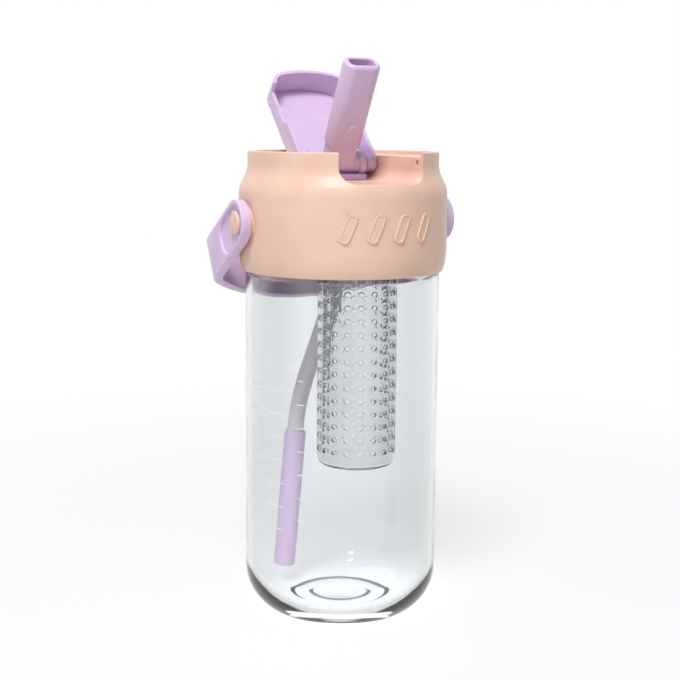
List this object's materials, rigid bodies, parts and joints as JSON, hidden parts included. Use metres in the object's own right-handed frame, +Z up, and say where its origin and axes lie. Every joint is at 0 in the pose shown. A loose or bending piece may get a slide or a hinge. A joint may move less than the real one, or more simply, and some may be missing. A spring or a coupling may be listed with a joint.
{
  "type": "tea infuser bottle",
  "caption": "Clear screw-top drinking bottle with a hanging perforated infuser, a straw, a folding spout under a flip cover and a swinging carry loop.",
  "frame": {"origin": "middle of the flat pad under the base, on the bottle's axis", "axes": "+Z up along the bottle's axis, -Y towards the front notch that the spout folds into, X along the hinge and handle axes"},
  "size_m": [0.0988, 0.1014, 0.2351],
  "materials": {
    "clear_plastic": "clear moulded copolyester, glossy",
    "peach_plastic": "satin moulded polypropylene",
    "lilac_plastic": "satin moulded polypropylene",
    "frosted_plastic": "natural translucent plastic",
    "silicone": "soft white silicone",
    "lilac_silicone": "soft lilac silicone",
    "steel": "drawn stainless pin"
  },
  "bodies": {
    "bottle": {"bottle_body": "clear_plastic"},
    "seal_ring": {"lid_gasket": "silicone"},
    "lid": {"lid_shell": "peach_plastic", "lid_liner": "frosted_plastic", "spout_seal": "lilac_silicone", "hinge_pin_left": "steel", "hinge_pin_right": "steel", "vent_valve": "silicone", "handle_button_left": "peach_plastic", "handle_button_right": "peach_plastic", "straw_sleeve": "frosted_plastic", "straw": "lilac_plastic"},
    "cover": {"flip_cover": "lilac_plastic"},
    "spout": {"spout": "lilac_plastic"},
    "handle": {"handle_strap": "lilac_plastic"},
    "infuser": {"infuser_collar": "clear_plastic", "infuser_basket": "clear_plastic"}
  },
  "joints": [
    {"name": "lid_rise", "type": "slide", "parent": "bottle", "child": "seal_ring", "axis": [0, 0, 1], "range_m": [0, 0.006]},
    {"name": "lid_turn", "type": "hinge", "parent": "seal_ring", "child": "lid", "pos_m": [0, 0, 0.16], "axis": [0, 0, 1], "range_deg": [0, 360]},
    {"name": "cover_hinge", "type": "hinge", "parent": "lid", "child": "cover", "pos_m": [0, 0.0075, 0.1915], "axis": [1, 0, 0], "range_deg": [0, 136]},
    {"name": "spout_fold", "type": "hinge", "parent": "lid", "child": "spout", "pos_m": [0, 0.0075, 0.1915], "axis": [1, 0, 0], "range_deg": [0, 60]},
    {"name": "handle_swing", "type": "hinge", "parent": "lid", "child": "handle", "pos_m": [0, 0, 0.1677], "axis": [1, 0, 0], "range_deg": [0, 65]},
    {"name": "infuser_twist", "type": "hinge", "parent": "lid", "child": "infuser", "pos_m": [0, -0.0148, 0.16], "axis": [0, 0, 1], "range_deg": [0, 40]}
  ],
  "couplings": [
    {"joint": "lid_rise", "follows": "lid_turn", "m_per_rad": 0.00095493},
    {"joint": "spout_fold", "follows": "cover_hinge", "ratio": 0.44118}
  ]
}
